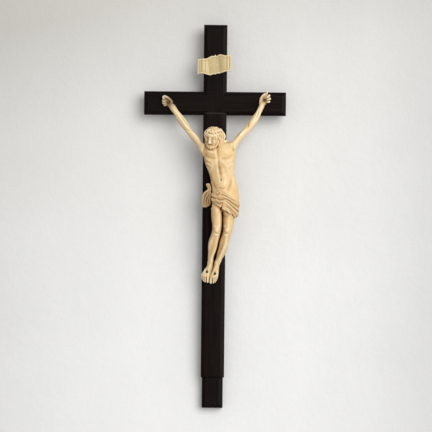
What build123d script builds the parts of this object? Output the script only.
"""Wall crucifix: a bevelled wooden cross with a carved figure, a scroll and a hanging ring.

Millimetres. The origin is at the middle of the crossing, on the back plane that lies on the wall.
+Z is up, the front faces -Y and +X is the viewer's right.
"""
import os
from math import cos, pi, sin

from build123d import *

# Cross
POST_RISE = 118.0  # crossing centre to the top end
POST_DROP = 457.0  # crossing centre to the foot end
POST_WIDTH = 35.0
BAR_LENGTH = 213.0
BAR_HEIGHT = 35.0
CROSS_DEPTH = 15.0  # back plane to the flat front
BEVEL_WIDTH = 5.9
BEVEL_DEPTH = 3.0
FOOT_WIDTH = 31.4
JOINT_DEPTH = 7.5  # back half of the halved crossing

# Front board on the lower upright
BOARD_TOP_DROP = 14.0  # crossing centre to the board's upper end
BOARD_END_DROP = 411.0  # crossing centre to the board's lower end
BOARD_THICKNESS = 7.0
BOARD_END_CHAMFER = 2.0

# Pegs in the crossing and screws behind the board
PEG_RADIUS = 3.0
PEG_LENGTH = 11.5
PEG_SPREAD = 7.0  # of each peg from the centre, along both axes
FIT_CLEARANCE = 0.05  # all round a peg, pin, nail or screw in its hole
SCREW_RADIUS = 1.8
SCREW_LENGTH = 16.0
SCREW_HEAD_RADIUS = 3.6
SCREW_HEAD_HEIGHT = 2.2
SLOT_WIDTH = 0.9
SLOT_DEPTH = 0.8
BOARD_SCREW_MARGIN = 40.0  # board's ends to the nearest screws
BOARD_SCREW_COUNT = 4

# Scroll above the figure
SCROLL_LENGTH = 52.0
SCROLL_HEIGHT = 29.0
SCROLL_THICKNESS = 2.4
SCROLL_RISE = 57.6  # crossing centre to the scroll's middle
SCROLL_SHIFT = -1.9
SCROLL_TILT = 5.5  # degrees, right end up
SCROLL_WAVE = 2.6  # how far the lobes stand off the flat
SCROLL_FLAT = 16.0  # length of the flat middle
SCROLL_PIN_SPREAD = 5.5
SCROLL_PIN_RADIUS = 0.9
SCROLL_PIN_BITE = 1.5  # into the scroll
SCROLL_PIN_LENGTH = 8.0
# Front outline: along half the length and up half the height
SCROLL_TOP_SHARES = [
    (-0.97, 0.67),
    (-0.55, 0.69),
    (-0.38, 0.69),
    (-0.20, 0.84),
    (-0.05, 0.92),
    (0.05, 0.83),
    (0.11, 1.00),
    (0.17, 0.81),
    (0.27, 0.92),
    (0.38, 1.00),
    (0.52, 0.92),
    (0.66, 0.83),
    (0.83, 0.81),
    (1.00, 0.87),
]
SCROLL_BOTTOM_SHARES = [
    (0.96, -0.75),
    (0.76, -0.74),
    (0.58, -0.76),
    (0.41, -0.84),
    (0.23, -0.90),
    (0.09, -0.86),
    (0.02, -1.00),
    (-0.05, -0.86),
    (-0.17, -0.97),
    (-0.29, -1.00),
    (-0.46, -0.90),
    (-0.63, -0.77),
    (-0.85, -0.72),
    (-1.00, -0.80),
]

# Figure as a whole
NECK_DROP = 57.0  # crossing centre to the pit of the neck
NECK_SHIFT = 6.0  # pit of the neck to the viewer's right of the centre line
BODY_LENGTH = 213.0  # pit of the neck to the toes
CHEST_WIDTH = 47.0
CHEST_DEPTH = 28.0
HIP_SWAY = 10.0  # hips to the viewer's right of the pit of the neck
LEG_WIDTH = 15.0
HEAD_LENGTH = 36.0  # crown to the beard's tip
HEAD_WIDTH = 25.0
HEAD_PITCH = 24.0  # degrees, bowed forward
HEAD_ROLL = 3.0  # degrees, leaning to the viewer's left

# Trunk sections down into the loincloth: drop of the body length, sway of the hip sway, half width
# of the chest width, place in front of the board and half depth of the chest depth
TRUNK_SHARES = [
    (-0.050, -0.30, 0.125, 0.62, 0.225),
    (-0.018, -0.06, 0.185, 0.53, 0.285),
    (0.014, 0.05, 0.350, 0.49, 0.375),
    (0.061, 0.13, 0.495, 0.54, 0.465),
    (0.122, 0.16, 0.495, 0.59, 0.500),
    (0.188, 0.33, 0.434, 0.61, 0.465),
    (0.249, 0.62, 0.396, 0.59, 0.411),
    (0.315, 0.96, 0.415, 0.57, 0.446),
    (0.350, 0.99, 0.430, 0.56, 0.500),
    (0.376, 1.00, 0.442, 0.56, 0.550),
    (0.420, 1.00, 0.447, 0.58, 0.580),
    (0.470, 0.97, 0.440, 0.62, 0.585),
    (0.520, 0.90, 0.420, 0.66, 0.570),
    (0.570, 0.78, 0.385, 0.69, 0.550),
]
CLOTH_HEM_SHARES = (0.420, 0.545)  # drop of the hem at the viewer's left and right, of the body length

# Leg sections: drop of the body length, outer edge from the middle of the hips of the chest width,
# half width of the leg width, place in front of the board and half depth of the chest depth
RIGHT_LEG_SHARES = [
    (0.418, -0.414, 0.63, 0.590, 0.41),
    (0.462, -0.443, 0.55, 0.625, 0.38),
    (0.526, -0.425, 0.51, 0.715, 0.36),
    (0.589, -0.390, 0.46, 0.820, 0.31),
    (0.631, -0.398, 0.44, 0.875, 0.29),
    (0.673, -0.456, 0.47, 0.805, 0.29),
    (0.715, -0.510, 0.48, 0.680, 0.29),
    (0.758, -0.517, 0.42, 0.555, 0.26),
    (0.800, -0.519, 0.32, 0.450, 0.20),
    (0.842, -0.519, 0.26, 0.357, 0.17),
    (0.875, -0.549, 0.29, 0.268, 0.19),
    (0.908, -0.646, 0.39, 0.186, 0.19),
    (0.940, -0.719, 0.43, 0.143, 0.16),
    (0.968, -0.711, 0.36, 0.121, 0.13),
    (0.995, -0.651, 0.23, 0.100, 0.09),
]
LEFT_LEG_SHARES = [
    (0.418, 0.383, 0.73, 0.570, 0.43),
    (0.462, 0.372, 0.68, 0.607, 0.41),
    (0.526, 0.339, 0.60, 0.697, 0.38),
    (0.589, 0.281, 0.50, 0.785, 0.31),
    (0.631, 0.243, 0.45, 0.840, 0.29),
    (0.673, 0.181, 0.45, 0.768, 0.29),
    (0.715, 0.140, 0.47, 0.660, 0.29),
    (0.758, 0.098, 0.46, 0.555, 0.26),
    (0.800, 0.009, 0.39, 0.450, 0.21),
    (0.842, -0.100, 0.30, 0.357, 0.18),
    (0.875, -0.149, 0.29, 0.279, 0.19),
    (0.908, -0.168, 0.32, 0.200, 0.19),
    (0.943, -0.181, 0.39, 0.150, 0.16),
    (0.975, -0.225, 0.35, 0.121, 0.12),
    (1.002, -0.285, 0.21, 0.090, 0.09),
]

# Head sections: place along the head length from the crown, half width and half depth of the head
# width, place forward of the head's axis of the head width
HEAD_SHARES = [
    (0.00, 0.12, 0.15, 0.00),
    (0.04, 0.27, 0.32, 0.00),
    (0.13, 0.42, 0.48, 0.00),
    (0.28, 0.50, 0.57, 0.00),
    (0.45, 0.50, 0.57, 0.01),
    (0.62, 0.43, 0.48, 0.05),
    (0.76, 0.32, 0.36, 0.10),
    (0.90, 0.20, 0.22, 0.15),
    (1.00, 0.09, 0.10, 0.17),
]
HEAD_AXIS_SHARES = (-0.175, 0.86)  # shift of the chest width and place in front of the chest depth
HEAD_RISE_SHARE = 0.145  # middle of the head above the pit of the neck, of the head length

# Hair locks beside the head: shift, rise and forward place of the head width, radius of the same
RIGHT_LOCK_SHARES = [(-0.70, 0.40, 0.72, 0.16), (-0.62, 0.05, 0.66, 0.20), (-0.52, -0.30, 0.62, 0.13)]
LEFT_LOCK_SHARES = [(0.02, 0.52, 0.70, 0.16), (0.20, 0.20, 0.64, 0.20), (0.26, -0.22, 0.66, 0.14)]

# Loose end of the loincloth: drop of the body length, shift from the middle of the hips and half
# width of the chest width, place in front of the board and half depth of the chest depth
KNOT_SHARES = [
    (0.303, -0.562, 0.038, 0.500, 0.070),
    (0.325, -0.540, 0.073, 0.500, 0.150),
    (0.349, -0.570, 0.140, 0.500, 0.230),
    (0.385, -0.594, 0.175, 0.490, 0.270),
    (0.420, -0.608, 0.183, 0.470, 0.250),
    (0.448, -0.635, 0.166, 0.450, 0.190),
    (0.466, -0.693, 0.080, 0.440, 0.090),
]
KNOT_SEAT_SHARE = -0.403  # seat on the hip from the middle of the hips, of the chest width

# Arms
RIGHT_HAND_SPREAD = 69.8  # centre line to the nail
RIGHT_HAND_RISE = 0.7  # crossing centre to the nail
LEFT_HAND_SPREAD = 74.1
LEFT_HAND_RISE = 5.1
ARM_WIDTH = 11.0
HAND_LENGTH = 20.0
HAND_WIDTH = 11.5
HAND_THICKNESS = 6.5
RIGHT_SHOULDER_SHARES = (-0.525, 0.042, 0.50)  # shift, drop and forward place of the seam
LEFT_SHOULDER_SHARES = (0.475, 0.022, 0.50)
SEAM_RADIUS_SHARES = (0.60, 0.56)  # half height and half depth of the seam, of the arm width
STUMP_REACH_SHARE = 1.6  # how far the shoulder reaches into the chest, of the arm width
STUMP_SWELL_SHARES = (1.05, 1.12, 1.00)  # swelling from the chest to the seam, of the seam
# Along from the seam to the wrist, bow below that line and half width of the arm width
RIGHT_ARM_SHARES = [
    (0.14, 0.04, 0.47, 0.47),
    (0.32, 0.10, 0.44, 0.45),
    (0.44, 0.14, 0.42, 0.43),
    (0.56, 0.13, 0.48, 0.46),
    (0.70, 0.08, 0.46, 0.43),
    (0.86, 0.03, 0.35, 0.34),
]
LEFT_ARM_SHARES = [
    (0.14, 0.10, 0.46, 0.47),
    (0.30, 0.22, 0.44, 0.45),
    (0.42, 0.33, 0.45, 0.44),
    (0.55, 0.38, 0.52, 0.48),
    (0.70, 0.34, 0.49, 0.44),
    (0.86, 0.20, 0.36, 0.35),
]
RIGHT_HAND_HEADING = 128.0  # degrees from +X to the fingers' root, seen from the front
LEFT_HAND_HEADING = 62.0
# Palm sections: along the hand length from the wrist, half width and half thickness
PALM_SHARES = [
    (0.00, 0.26, 0.40),
    (0.16, 0.36, 0.46),
    (0.36, 0.46, 0.48),
    (0.54, 0.48, 0.44),
    (0.62, 0.42, 0.36),
]
NAIL_ALONG_SHARE = 0.36  # nail's place along the hand length
# Fingers: root along the hand length and across the hand width, and length of the hand length
FINGER_SHARES = [(0.50, -0.36, 0.40), (0.54, -0.12, 0.46), (0.54, 0.12, 0.44), (0.50, 0.34, 0.36)]
FINGER_FAN = (-14.0, -5.0, 4.0, 14.0)  # degrees off the hand's own heading
FINGER_RADIUS_SHARE = 0.125  # of the hand width
FINGER_TAPER_SHARES = (1.15, 1.00, 0.70)  # from root to tip, of a finger's radius
FINGER_LIFT_SHARE = 0.55  # how far the tips curl forward, of a finger's length
FINGER_BEND_SHARES = (0.60, 0.35)  # middle joint along the finger and up its curl
THUMB_SHARES = (0.16, -0.30, 0.42)
THUMB_FAN = -40.0  # degrees

# Nails and dowels of the figure
NAIL_RADIUS = 1.0
NAIL_BITE = 9.0  # into the wood
NAIL_HEAD_RADIUS = 2.0
NAIL_HEAD_HEIGHT = 1.2
NAIL_CROWN_SHARE = 0.7  # top of the head, of the head's radius
HAND_NAIL_SEAT_SHARE = 0.80  # plane under the head, of the hand's thickness
FOOT_NAIL_SEAT_SHARE = 0.345  # plane under the head, of the chest depth
RIGHT_FOOT_NAIL_SHARE = 0.917  # drop of the body length
LEFT_FOOT_NAIL_SHARE = 0.930
DOWEL_RADIUS = 1.8
DOWEL_LENGTH = 13.0

# Hanger in the upright's back
HANGER_RISE = 82.0  # crossing centre to the ring's pivot
POCKET_WIDTH = 24.0
POCKET_DEPTH = 6.0
POCKET_MARGIN = 2.5  # free space past the ring's reach and past the plate
PLATE_WIDTH = 10.0
PLATE_LENGTH = 34.0  # pivot to the plate's lower end
PLATE_THICKNESS = 1.2
KNUCKLE_RADIUS = 2.7
WIRE_RADIUS = 1.2
WIRE_CLEARANCE = 0.3  # ring's wire in the knuckle and off the plate
RING_WIDTH = 19.0  # between the wire's centre lines
RING_DROP = 15.0  # pivot to the wire's lowest centre line
HANGER_SCREW_SPAN = 7.5  # between the two screws
HANGER_SCREW_LENGTH = 8.0
HANGER_SCREW_RADIUS = 1.3
HANGER_SCREW_HEAD_RADIUS = 2.6
HANGER_SCREW_HEAD_HEIGHT = 1.5
HANGER_SCREW_CROWN_SHARE = 0.75  # top of the head, of the head's radius

SECTION_POINTS = 16

BAR_FRONT = -CROSS_DEPTH
SEAT = -(CROSS_DEPTH - BEVEL_DEPTH)
BOARD_FRONT = SEAT - BOARD_THICKNESS


# General shapes
def prism(points, along):
    """Prism on a flat outline of 3-D points, pushed along a vector."""
    outline = Face(Wire.make_polygon([Vector(*point) for point in points], close=True))
    return Solid.extrude(outline, Vector(*along))


def block(x_span, y_span, z_span):
    """Box between pairs of coordinates."""
    corner = Pos(min(x_span), min(y_span), min(z_span))
    size = [abs(span[1] - span[0]) for span in (x_span, y_span, z_span)]
    return corner * Box(*size, align=(Align.MIN, Align.MIN, Align.MIN))


def rod(start, end, radius):
    """Cylinder between two points."""
    axis = Vector(*end) - Vector(*start)
    return Solid.make_cylinder(radius, axis.length, Plane(origin=start, z_dir=axis))


def taper(start, end, start_radius, end_radius):
    """Cone frustum between two points."""
    axis = Vector(*end) - Vector(*start)
    return Solid.make_cone(start_radius, end_radius, axis.length, Plane(origin=start, z_dir=axis))


def section(centre, across, upward, half_width, half_depth):
    """Closed smooth outline round a centre, in the plane of two directions."""
    points = []
    for index in range(SECTION_POINTS):
        turn = 2 * pi * index / SECTION_POINTS
        offset = across * (half_width * cos(turn)) + upward * (half_depth * sin(turn))
        points.append(centre + offset)
    return Wire([Edge.make_spline(points, periodic=True)])


def loft_of(sections):
    """Smooth solid through outlines."""
    return Solid.make_loft(sections)


def level_loft(rows):
    """Smooth solid through level outlines, each with centre, half width and half depth."""
    outlines = []
    for centre, half_width, half_depth in rows:
        outlines.append(section(centre, Vector(1, 0, 0), Vector(0, -1, 0), half_width, half_depth))
    return loft_of(outlines)


def limb(points, radii):
    """Smooth round limb through points, each outline square to the path."""
    outlines = []
    last = len(points) - 1
    for index, point in enumerate(points):
        along = points[min(index + 1, last)] - points[max(index - 1, 0)]
        across = along.cross(Vector(0, -1, 0)).normalized()
        upward = across.cross(along).normalized()
        wide, deep = radii[index]
        outlines.append(section(point, across, upward, wide, deep))
    return loft_of(outlines)


def largest(shape):
    """Largest solid of a shape, without the offcuts."""
    return max(shape.solids(), key=lambda solid: solid.volume)


def joined(pieces):
    """One solid out of pieces that run into each other."""
    return largest(pieces[0].fuse(*pieces[1:]))


def cut(shape, *tools):
    """Shape less its tools, as one solid."""
    return largest(shape.cut(*tools))


# Cross
def bevelled_bar(half_width, low, high, upright):
    """Bar with bevelled front edges all round, standing or lying."""
    flat = half_width - BEVEL_WIDTH
    shoulder = SEAT
    side = [
        (-half_width, 0),
        (half_width, 0),
        (half_width, shoulder),
        (flat, BAR_FRONT),
        (-flat, BAR_FRONT),
        (-half_width, shoulder),
    ]
    run = [
        (low, 0),
        (high, 0),
        (high, shoulder),
        (high - BEVEL_WIDTH, BAR_FRONT),
        (low + BEVEL_WIDTH, BAR_FRONT),
        (low, shoulder),
    ]
    if upright:
        body = prism([(across, depth, low) for across, depth in side], (0, 0, high - low))
        ends = prism([(-half_width, depth, along) for along, depth in run], (2 * half_width, 0, 0))
    else:
        body = prism([(low, depth, across) for across, depth in side], (high - low, 0, 0))
        ends = prism([(along, depth, -half_width) for along, depth in run], (0, 0, 2 * half_width))
    return largest(body.intersect(ends))


def crossing_waist():
    """Front half of the upright inside the crossing, mitred at its four corners."""
    wide = POST_WIDTH / 2
    tall = BAR_HEIGHT / 2
    flat_x = wide - BEVEL_WIDTH
    flat_z = tall - BEVEL_WIDTH
    outline = [
        (-wide, -JOINT_DEPTH, tall),
        (-flat_x, -JOINT_DEPTH, flat_z),
        (-flat_x, -JOINT_DEPTH, -flat_z),
        (-wide, -JOINT_DEPTH, -tall),
        (wide, -JOINT_DEPTH, -tall),
        (flat_x, -JOINT_DEPTH, -flat_z),
        (flat_x, -JOINT_DEPTH, flat_z),
        (wide, -JOINT_DEPTH, tall),
    ]
    return prism(outline, (0, BAR_FRONT + JOINT_DEPTH, 0))


def peg_places():
    """Centres of the pegs, on one diagonal of the crossing."""
    return [(-PEG_SPREAD, PEG_SPREAD), (PEG_SPREAD, -PEG_SPREAD)]


def board_screw_heights():
    """Heights of the screws behind the front board, evenly spaced."""
    high = -BOARD_TOP_DROP - BOARD_SCREW_MARGIN
    low = -BOARD_END_DROP + BOARD_SCREW_MARGIN
    step = (high - low) / (BOARD_SCREW_COUNT - 1)
    return [high - index * step for index in range(BOARD_SCREW_COUNT)]


def peg_holes():
    """Holes of the pegs, from the back plane."""
    bore = PEG_RADIUS + FIT_CLEARANCE
    depth = -(PEG_LENGTH + FIT_CLEARANCE)
    return [rod((x, 0, z), (x, depth, z), bore) for x, z in peg_places()]


def board_screw_holes():
    """Holes of the board's screws, with their countersinks."""
    holes = []
    for height in board_screw_heights():
        tip = (0, -(SCREW_LENGTH + FIT_CLEARANCE), height)
        holes.append(rod((0, 0, height), tip, SCREW_RADIUS + FIT_CLEARANCE))
        holes.append(screw_head((0, 0, height), FIT_CLEARANCE))
    return holes


def screw_head(place, clearance):
    """Countersunk head from a place on the back plane inwards."""
    x, y, z = place
    inner = (x, y - SCREW_HEAD_HEIGHT - clearance, z)
    return taper(place, inner, SCREW_HEAD_RADIUS + clearance, SCREW_RADIUS + clearance)


def make_upright():
    """Full-length upright with its seat for the board, its foot and the pocket for the hanger."""
    half = POST_WIDTH / 2
    tall = BAR_HEIGHT / 2
    bar = bevelled_bar(half, -POST_DROP, POST_RISE, True)
    crossing = block((-half, half), (0, BAR_FRONT), (-tall, tall))
    waist = largest(bar.intersect(crossing_waist()))
    body = bar.cut(crossing)
    seat = block((-half, half), (SEAT, BAR_FRONT), (-BOARD_TOP_DROP, -BOARD_END_DROP))
    body = joined([waist, *body.solids()])
    body = cut(body, seat)
    foot = bevelled_bar(FOOT_WIDTH / 2, -POST_DROP, -BOARD_END_DROP + BEVEL_WIDTH, True)
    below = block((-half, half), (0, BAR_FRONT), (-POST_DROP, -BOARD_END_DROP))
    body = joined([cut(body, below), largest(foot.intersect(below))])
    holes = peg_holes() + board_screw_holes() + scroll_pin_holes() + hanger_screw_holes()
    return cut(body, hanger_pocket(), *holes, *foot_nail_holes())


def make_crossbar():
    """Crossbar, notched in front for the upright's waist."""
    half = POST_WIDTH / 2
    tall = BAR_HEIGHT / 2
    bar = bevelled_bar(tall, -BAR_LENGTH / 2, BAR_LENGTH / 2, False)
    seat = block((-half, half), (SEAT, BAR_FRONT), (-BOARD_TOP_DROP, -tall))
    nails = [rod(*nail_hole(*hand), NAIL_RADIUS + FIT_CLEARANCE) for hand in hand_nail_places()]
    return cut(bar, crossing_waist(), seat, *peg_holes(), *nails)


def make_front_board():
    """Raised board with bevelled sides and chamfered ends."""
    half = POST_WIDTH / 2
    flat = half - BEVEL_WIDTH
    side_edge = BOARD_FRONT + BEVEL_DEPTH
    end_edge = BOARD_FRONT + BOARD_END_CHAMFER
    high = -BOARD_TOP_DROP
    low = -BOARD_END_DROP
    side = [
        (-half, SEAT, low),
        (half, SEAT, low),
        (half, side_edge, low),
        (flat, BOARD_FRONT, low),
        (-flat, BOARD_FRONT, low),
        (-half, side_edge, low),
    ]
    run = [
        (-half, SEAT, low),
        (-half, SEAT, high),
        (-half, end_edge, high),
        (-half, BOARD_FRONT, high - BOARD_END_CHAMFER),
        (-half, BOARD_FRONT, low + BOARD_END_CHAMFER),
        (-half, end_edge, low),
    ]
    board = largest(prism(side, (0, 0, high - low)).intersect(prism(run, (POST_WIDTH, 0, 0))))
    return cut(board, *board_screw_holes(), *foot_nail_holes())


def make_crossing_pegs():
    """Pegs that lock the halved crossing."""
    return Compound([rod((x, 0, z), (x, -PEG_LENGTH, z), PEG_RADIUS) for x, z in peg_places()])


def slotted_screw(place, radius, length, head):
    """Screw driven forwards from a place, with a slot across its head."""
    x, y, z = place
    shank = rod(place, (x, y - length, z), radius)
    half = SLOT_WIDTH / 2
    reach = SCREW_HEAD_RADIUS
    slot = block((x - reach, x + reach), (y, y - SLOT_DEPTH), (z - half, z + half))
    return cut(joined([head, shank]), slot)


def make_board_screws():
    """Countersunk screws behind the board."""
    screws = []
    for height in board_screw_heights():
        place = (0, 0, height)
        screws.append(slotted_screw(place, SCREW_RADIUS, SCREW_LENGTH, screw_head(place, 0)))
    return Compound(screws)


# Scroll
def scroll_turn():
    """Place and tilt of the scroll on the upright's front."""
    return Pos(SCROLL_SHIFT, BAR_FRONT, SCROLL_RISE) * Rot(0, -SCROLL_TILT, 0)


def scroll_pin_places():
    """Centres of the scroll's pins on the upright's front."""
    turn = SCROLL_TILT * pi / 180
    places = []
    for side in (-1, 1):
        x = SCROLL_SHIFT + side * SCROLL_PIN_SPREAD * cos(turn)
        z = SCROLL_RISE + side * SCROLL_PIN_SPREAD * sin(turn)
        places.append((x, z))
    return places


def scroll_pin_holes():
    """Holes of the scroll's pins in the upright."""
    holes = []
    for x, z in scroll_pin_places():
        outer = BAR_FRONT - SCROLL_PIN_BITE
        inner = outer + SCROLL_PIN_LENGTH + FIT_CLEARANCE
        mouth = outer - FIT_CLEARANCE
        holes.append(rod((x, mouth, z), (x, inner, z), SCROLL_PIN_RADIUS + FIT_CLEARANCE))
    return holes


def scroll_curve(level):
    """Half of the scroll's section line from the flat middle to its rolled end."""
    half = SCROLL_LENGTH / 2
    flat = SCROLL_FLAT / 2
    rise = SCROLL_WAVE
    lobe = (half + flat) / 2
    return [(flat, -level), (lobe, -level - rise), (half, -level)]


def scroll_outline():
    """Lobed front outline of the scroll as a prism through its depth."""
    half = SCROLL_LENGTH / 2
    tall = SCROLL_HEIGHT / 2
    outline = SCROLL_TOP_SHARES + SCROLL_BOTTOM_SHARES
    reach = -(SCROLL_THICKNESS + 2 * SCROLL_WAVE)
    return prism([(along * half, 0, rise * tall) for along, rise in outline], (0, reach, 0))


def make_titulus_scroll():
    """Bare scroll, flat at its pins, with one lobe standing off on each side."""
    front = scroll_curve(SCROLL_THICKNESS)
    back = scroll_curve(0)
    tall = SCROLL_HEIGHT / 2
    edges = []
    for line, step in ((front, 1), (back, -1)):
        right = [Vector(x, y, -tall) for x, y in line]
        left = [Vector(-x, y, -tall) for x, y in reversed(line)]
        left_arc = Edge.make_three_point_arc(*left)
        right_arc = Edge.make_three_point_arc(*right)
        edges += [left_arc, Edge.make_line(left[-1], right[0]), right_arc]
    edges.append(Edge.make_line(edges[0] @ 0, edges[3] @ 0))
    edges.append(Edge.make_line(edges[2] @ 1, edges[5] @ 1))
    sheet = Solid.extrude(Face(Wire(edges)), Vector(0, 0, SCROLL_HEIGHT))
    shaped = largest(sheet.intersect(scroll_outline()))
    return cut(scroll_turn() * shaped, *scroll_pin_holes())


def make_titulus_pins():
    """Two blind pins between the scroll and the upright."""
    pins = []
    for x, z in scroll_pin_places():
        outer = BAR_FRONT - SCROLL_PIN_BITE
        pins.append(rod((x, outer, z), (x, outer + SCROLL_PIN_LENGTH, z), SCROLL_PIN_RADIUS))
    return Compound(pins)


# Figure
def body_point(drop_share, shift, forward_share):
    """Point of the figure from its drop, its shift and its place in front of the board."""
    depth = BOARD_FRONT - forward_share * CHEST_DEPTH
    return Vector(NECK_SHIFT + shift, depth, -NECK_DROP - drop_share * BODY_LENGTH)


def trunk_rows(shares):
    """Level sections of the trunk."""
    rows = []
    for drop, sway, wide, forward, deep in shares:
        centre = body_point(drop, sway * HIP_SWAY, forward)
        rows.append((centre, wide * CHEST_WIDTH, deep * CHEST_DEPTH))
    return rows


def leg_rows(side):
    """Level sections of a leg with its foot, set in from its outer edge."""
    rows = []
    inwards = LEGS[side]["inwards"]
    for drop, edge, wide, forward, deep in LEGS[side]["sections"]:
        half_width = wide * LEG_WIDTH
        shift = HIP_SWAY + edge * CHEST_WIDTH + inwards * half_width
        rows.append((body_point(drop, shift, forward), half_width, deep * CHEST_DEPTH))
    return rows


def foot_middle(side, drop_share):
    """Middle of a foot at a drop, between the sections above and below it."""
    centres = [centre for centre, _, _ in leg_rows(side)]
    height = -NECK_DROP - drop_share * BODY_LENGTH
    above = [centre for centre in centres if centre.Z >= height][-1]
    below = [centre for centre in centres if centre.Z < height][0]
    return above + (below - above) * ((above.Z - height) / (above.Z - below.Z))


def knot_rows():
    """Level sections of the loincloth's loose end."""
    rows = []
    for drop, shift, wide, forward, deep in KNOT_SHARES:
        centre = body_point(drop, HIP_SWAY + shift * CHEST_WIDTH, forward)
        rows.append((centre, wide * CHEST_WIDTH, deep * CHEST_DEPTH))
    return rows


def make_head():
    """Head with hair and beard as one mass, bowed forward."""
    rows = []
    for along, wide, deep, forward in HEAD_SHARES:
        centre = Vector(0, -forward * HEAD_WIDTH, HEAD_LENGTH / 2 - along * HEAD_LENGTH)
        rows.append((centre, wide * HEAD_WIDTH, deep * HEAD_WIDTH))
    shift, forward = HEAD_AXIS_SHARES
    place = body_point(0, shift * CHEST_WIDTH, forward)
    rise = HEAD_RISE_SHARE * HEAD_LENGTH
    turn = Rot(HEAD_PITCH, 0, 0)
    return Pos(place.X, place.Y, place.Z + rise) * Rot(0, -HEAD_ROLL, 0) * turn * level_loft(rows)


def hair_lock(shares):
    """Lock of hair beside the neck."""
    points = []
    radii = []
    for shift, rise, forward, radius in shares:
        depth = BOARD_FRONT - forward * CHEST_DEPTH
        points.append(Vector(NECK_SHIFT + shift * HEAD_WIDTH, depth, -NECK_DROP + rise * HEAD_WIDTH))
        radii.append((radius * HEAD_WIDTH, radius * HEAD_WIDTH))
    return limb(points, radii)


def seam_point(shares):
    """Middle of the seam between the trunk and an arm."""
    shift, drop, forward = shares
    return body_point(drop, shift * CHEST_WIDTH, forward)


def shoulder_stump(side):
    """Part of the trunk that carries an arm, ending flat on the seam."""
    arm = ARMS[side]
    seam = seam_point(arm["shoulder"])
    along = arm_direction(side)
    radii = [share * ARM_WIDTH for share in SEAM_RADIUS_SHARES]
    across, upward = arm_frame(along)
    inner = seam - along * (STUMP_REACH_SHARE * ARM_WIDTH)
    middle = seam - along * (STUMP_REACH_SHARE * ARM_WIDTH / 2)
    outlines = []
    for point, swell in zip((inner, middle, seam), STUMP_SWELL_SHARES):
        outlines.append(section(point, across, upward, *[radius * swell for radius in radii]))
    return loft_of(outlines)


def arm_direction(side):
    """Direction of an arm from its seam to its wrist."""
    return (wrist_point(side) - seam_point(ARMS[side]["shoulder"])).normalized()


def arm_frame(along):
    """Directions across an arm and out of it."""
    across = along.cross(Vector(0, -1, 0)).normalized()
    return across, across.cross(along).normalized()


def hand_heading(side):
    """Direction of a hand from its wrist to its fingers, along the crossbar's front."""
    turn = ARMS[side]["heading"] * pi / 180
    return Vector(cos(turn), 0, sin(turn))


def wrist_point(side):
    """Middle of the wrist, short of the nail."""
    x, z = ARMS[side]["nail"]
    middle = Vector(x, BAR_FRONT - HAND_THICKNESS / 2, z)
    return middle - hand_heading(side) * (NAIL_ALONG_SHARE * HAND_LENGTH)


def hand_point(side, along_share, across_share, lift):
    """Point of a hand from its wrist, across its width and forward of the crossbar."""
    heading = hand_heading(side)
    across = heading.cross(Vector(0, -1, 0)) * ARMS[side]["thumb"]
    base = wrist_point(side) + heading * (along_share * HAND_LENGTH)
    return base + across * (across_share * HAND_WIDTH) - Vector(0, lift, 0)


def make_palm(side):
    """Palm, lying on the crossbar."""
    heading = hand_heading(side)
    across = heading.cross(Vector(0, -1, 0))
    outlines = []
    for along, wide, thick in PALM_SHARES:
        point = hand_point(side, along, 0, 0)
        outlines.append(section(point, across, Vector(0, -1, 0), wide * HAND_WIDTH, thick * HAND_THICKNESS))
    return loft_of(outlines)


def make_finger(side, shares, fan):
    """One curled finger or thumb."""
    root_along, root_across, reach = shares
    root = hand_point(side, root_along, root_across, 0)
    turn = (ARMS[side]["heading"] + ARMS[side]["thumb"] * fan) * pi / 180
    heading = Vector(cos(turn), 0, sin(turn))
    length = reach * HAND_LENGTH
    lift = FINGER_LIFT_SHARE * length
    radius = FINGER_RADIUS_SHARE * HAND_WIDTH
    bend_along, bend_lift = FINGER_BEND_SHARES
    middle = root + heading * (bend_along * length) - Vector(0, bend_lift * lift, 0)
    tip = root + heading * length - Vector(0, lift, 0)
    radii = [(radius * share, radius * share) for share in FINGER_TAPER_SHARES]
    return limb([root - heading * radius, middle, tip], radii)


def make_arm(side):
    """Arm from its seam to its hand, with holes for its dowel and its nail."""
    arm = ARMS[side]
    seam = seam_point(arm["shoulder"])
    wrist = wrist_point(side)
    along = wrist - seam
    across, upward = arm_frame(along.normalized())
    outlines = [section(seam, across, upward, *[share * ARM_WIDTH for share in SEAM_RADIUS_SHARES])]
    below = across * (ARM_WIDTH * arm["below"])
    for share, bow, wide, deep in arm["stations"]:
        point = seam + along * share + below * bow
        outlines.append(section(point, across, upward, wide * ARM_WIDTH, deep * ARM_WIDTH))
    end = wrist + hand_heading(side) * (PALM_SHARES[1][0] * HAND_LENGTH)
    _, wide, thick = PALM_SHARES[0]
    outlines.append(section(end, across, upward, wide * HAND_WIDTH, thick * HAND_THICKNESS))
    fingers = [make_finger(side, *finger) for finger in zip(FINGER_SHARES, FINGER_FAN)]
    thumb = make_finger(side, THUMB_SHARES, THUMB_FAN)
    whole = joined([loft_of(outlines), make_palm(side), *fingers, thumb])
    wall = block((-BAR_LENGTH, BAR_LENGTH), (BAR_FRONT, 0), (-BAR_LENGTH, BAR_LENGTH))
    x, z = arm["nail"]
    return cut(whole, wall, dowel_hole(side), *nail_cuts(x, z, HAND_NAIL_FACE, BAR_FRONT))


def dowel_ends(side, clearance):
    """Ends of a shoulder dowel, half in the trunk and half in the arm."""
    seam = seam_point(ARMS[side]["shoulder"])
    half = arm_direction(side) * (DOWEL_LENGTH / 2 + clearance)
    return seam - half, seam + half


def make_dowel(side):
    """Shoulder dowel."""
    return rod(*dowel_ends(side, 0), DOWEL_RADIUS)


def dowel_hole(side):
    """Hole of a shoulder dowel."""
    return rod(*dowel_ends(side, FIT_CLEARANCE), DOWEL_RADIUS + FIT_CLEARANCE)


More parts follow.
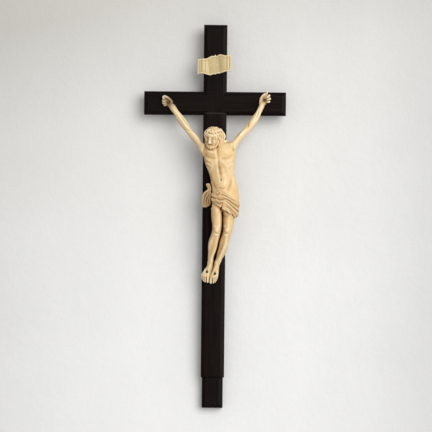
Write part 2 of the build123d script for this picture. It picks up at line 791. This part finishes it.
def hand_nail_places():
    """Places of the hand nails, with the plane under their heads and the front of the wood."""
    return [(*ARMS[side]["nail"], HAND_NAIL_FACE, BAR_FRONT) for side in ("right", "left")]


def foot_nail_places():
    """Places of the foot nails, with the plane under their heads and the front of the wood."""
    places = []
    for side in ("right", "left"):
        point = foot_middle(side, LEGS[side]["nail"])
        places.append((point.X, point.Z, FOOT_NAIL_FACE, BOARD_FRONT))
    return places


def foot_nail_holes():
    """Holes of the foot nails in the board and the upright."""
    return [rod(*nail_hole(*foot), NAIL_RADIUS + FIT_CLEARANCE) for foot in foot_nail_places()]


def nail_hole(x, z, face, wood):
    """Ends of a nail's hole, from under its head into the wood."""
    return (x, face, z), (x, wood + NAIL_BITE + FIT_CLEARANCE, z)


def nail_cuts(x, z, face, wood):
    """Hole of a nail and the flat seat of its head."""
    start, end = nail_hole(x, z, face, wood)
    hole = rod(start, end, NAIL_RADIUS + FIT_CLEARANCE)
    seat = rod(start, (x, face - CHEST_DEPTH / 2, z), NAIL_HEAD_RADIUS + FIT_CLEARANCE)
    return [hole, seat]


def make_nail(x, z, face, wood):
    """Nail with a flat, slightly tapered head."""
    start = (x, face, z)
    shank = rod(start, (x, wood + NAIL_BITE, z), NAIL_RADIUS)
    outer = (x, face - NAIL_HEAD_HEIGHT, z)
    head = taper(start, outer, NAIL_HEAD_RADIUS, NAIL_HEAD_RADIUS * NAIL_CROWN_SHARE)
    return joined([shank, head])


def make_trunk():
    """Trunk and loincloth, cut off along the slanting hem."""
    whole = level_loft(trunk_rows(TRUNK_SHARES))
    reach = 2 * CHEST_WIDTH
    middle = NECK_SHIFT + HIP_SWAY
    left, right = CLOTH_HEM_SHARES
    slope = (right - left) / CHEST_WIDTH
    hem = []
    for side in (-1, 1):
        drop = (left + right) / 2 + side * slope * reach
        hem.append((middle + side * reach, -NECK_DROP - drop * BODY_LENGTH))
    low = -NECK_DROP - 2 * BODY_LENGTH
    outline = hem + [(middle + reach, low), (middle - reach, low)]
    below = prism([(x, 0, z) for x, z in outline], (0, BOARD_FRONT - 2 * CHEST_DEPTH, 0))
    return cut(whole, below)


def knot_seat():
    """Flat seat between the hip and the loincloth's loose end."""
    return NECK_SHIFT + HIP_SWAY + KNOT_SEAT_SHARE * CHEST_WIDTH


def make_corpus_body():
    """Head, trunk, loincloth and legs as one carved block."""
    pieces = [
        make_trunk(),
        level_loft(leg_rows("right")),
        level_loft(leg_rows("left")),
        shoulder_stump("right"),
        shoulder_stump("left"),
        make_head(),
        hair_lock(RIGHT_LOCK_SHARES),
        hair_lock(LEFT_LOCK_SHARES),
    ]
    whole = joined(pieces)
    reach = BODY_LENGTH
    wall = block((-reach, reach), (BOARD_FRONT, 0), (-2 * reach, reach))
    rows = knot_rows()
    top = rows[0][0].Z
    bottom = rows[-1][0].Z
    beside = block((knot_seat() - reach, knot_seat()), (0, -reach), (top, bottom))
    nails = []
    for place in foot_nail_places():
        nails += nail_cuts(*place)
    return cut(whole, wall, beside, dowel_hole("right"), dowel_hole("left"), *nails)


def make_loincloth_knot():
    """Loose end of the loincloth, flat where it sits on the hip."""
    whole = level_loft(knot_rows())
    reach = BODY_LENGTH
    beyond = block((knot_seat(), knot_seat() + reach), (0, -reach), (-2 * reach, reach))
    return cut(whole, beyond)


# Hanger
def pocket_floor():
    """Depth of the pocket's floor."""
    return -POCKET_DEPTH


def pivot_depth():
    """Depth of the ring's pivot, with the knuckle on the pocket's floor."""
    return pocket_floor() + KNUCKLE_RADIUS


def hanger_pocket():
    """Pocket that takes the plate and the ring, turned down or up."""
    reach = RING_DROP + WIRE_RADIUS + POCKET_MARGIN
    low = HANGER_RISE - PLATE_LENGTH - POCKET_MARGIN
    half = POCKET_WIDTH / 2
    return block((-half, half), (pocket_floor(), 0), (low, HANGER_RISE + reach))


def hanger_screw_places():
    """Heights of the hanger's screws, near the plate's lower end."""
    low = HANGER_RISE - PLATE_LENGTH + PLATE_WIDTH / 2
    return [low, low + HANGER_SCREW_SPAN]


def hanger_screw_holes():
    """Holes of the hanger's screws in the pocket's floor."""
    start = pocket_floor() + PLATE_THICKNESS
    holes = []
    for height in hanger_screw_places():
        end = (0, start - HANGER_SCREW_LENGTH - FIT_CLEARANCE, height)
        holes.append(rod((0, start, height), end, HANGER_SCREW_RADIUS + FIT_CLEARANCE))
    return holes


def make_hanger_plate():
    """Plate with the knuckle that holds the ring."""
    half = PLATE_WIDTH / 2
    floor = pocket_floor()
    lower_end = HANGER_RISE - PLATE_LENGTH
    strip = block((-half, half), (floor, floor + PLATE_THICKNESS), (lower_end, HANGER_RISE))
    start = (-half, pivot_depth(), HANGER_RISE)
    end = (half, pivot_depth(), HANGER_RISE)
    knuckle = rod(start, end, KNUCKLE_RADIUS)
    bore = rod(start, end, WIRE_RADIUS + WIRE_CLEARANCE)
    return cut(joined([strip, knuckle]), bore, *hanger_screw_holes())


def make_hanger_screws():
    """Round-headed screws through the plate."""
    screws = []
    face = pocket_floor() + PLATE_THICKNESS
    for height in hanger_screw_places():
        top = face + HANGER_SCREW_HEAD_HEIGHT
        rim = HANGER_SCREW_HEAD_RADIUS
        head = taper((0, face, height), (0, top, height), rim, rim * HANGER_SCREW_CROWN_SHARE)
        length = HANGER_SCREW_LENGTH + HANGER_SCREW_HEAD_HEIGHT
        screws.append(slotted_screw((0, top, height), HANGER_SCREW_RADIUS, length, head))
    return Compound(screws)


def make_hanging_ring():
    """Bent wire ring with a straight bar in the knuckle, hanging down."""
    half = RING_WIDTH / 2
    depth = pivot_depth()
    turn = HANGER_RISE - RING_DROP + half
    corner_left = (-half, depth, HANGER_RISE)
    corner_right = (half, depth, HANGER_RISE)
    bar = rod(corner_left, corner_right, WIRE_RADIUS)
    left = rod(corner_left, (-half, depth, turn), WIRE_RADIUS)
    right = rod(corner_right, (half, depth, turn), WIRE_RADIUS)
    corners = [Pos(*corner) * Sphere(WIRE_RADIUS) for corner in (corner_left, corner_right)]
    whole_bow = Pos(0, depth, turn) * Rot(90, 0, 0) * Torus(half, WIRE_RADIUS)
    reach = 2 * RING_WIDTH
    lower = block((-reach, reach), (-reach, reach), (turn, turn - reach))
    bow = largest(whole_bow.intersect(lower))
    return joined([bar, left, right, bow, *[corner.solid() for corner in corners]])


# Planes under the nail heads
HAND_NAIL_FACE = BAR_FRONT - HAND_THICKNESS * HAND_NAIL_SEAT_SHARE
FOOT_NAIL_FACE = BOARD_FRONT - CHEST_DEPTH * FOOT_NAIL_SEAT_SHARE

# What differs between the two legs: inwards is the way from a leg's outer edge to its middle
LEGS = {
    "right": {"sections": RIGHT_LEG_SHARES, "inwards": 1, "nail": RIGHT_FOOT_NAIL_SHARE},
    "left": {"sections": LEFT_LEG_SHARES, "inwards": -1, "nail": LEFT_FOOT_NAIL_SHARE},
}

# What differs between the two arms: thumb is the side of the hand that carries it, below the side
# of the arm that faces down
ARMS = {
    "right": {
        "shoulder": RIGHT_SHOULDER_SHARES,
        "stations": RIGHT_ARM_SHARES,
        "nail": (-RIGHT_HAND_SPREAD, RIGHT_HAND_RISE),
        "heading": RIGHT_HAND_HEADING,
        "thumb": 1,
        "below": -1,
    },
    "left": {
        "shoulder": LEFT_SHOULDER_SHARES,
        "stations": LEFT_ARM_SHARES,
        "nail": (LEFT_HAND_SPREAD, LEFT_HAND_RISE),
        "heading": LEFT_HAND_HEADING,
        "thumb": -1,
        "below": 1,
    },
}


def main():
    """Build every piece and write it to its own file."""
    right_hand, left_hand = hand_nail_places()
    right_foot, left_foot = foot_nail_places()
    pieces = {
        "upright": make_upright(),
        "crossbar": make_crossbar(),
        "front_board": make_front_board(),
        "crossing_pegs": make_crossing_pegs(),
        "board_screws": make_board_screws(),
        "titulus_scroll": make_titulus_scroll(),
        "titulus_pins": make_titulus_pins(),
        "corpus_body": make_corpus_body(),
        "right_arm": make_arm("right"),
        "left_arm": make_arm("left"),
        "right_shoulder_dowel": make_dowel("right"),
        "left_shoulder_dowel": make_dowel("left"),
        "loincloth_knot": make_loincloth_knot(),
        "right_hand_nail": make_nail(*right_hand),
        "left_hand_nail": make_nail(*left_hand),
        "right_foot_nail": make_nail(*right_foot),
        "left_foot_nail": make_nail(*left_foot),
        "hanger_plate": make_hanger_plate(),
        "hanger_screws": make_hanger_screws(),
        "hanging_ring": make_hanging_ring(),
    }
    os.makedirs("parts", exist_ok=True)
    for name, shape in pieces.items():
        export_step(shape, f"parts/{name}.step")


main()
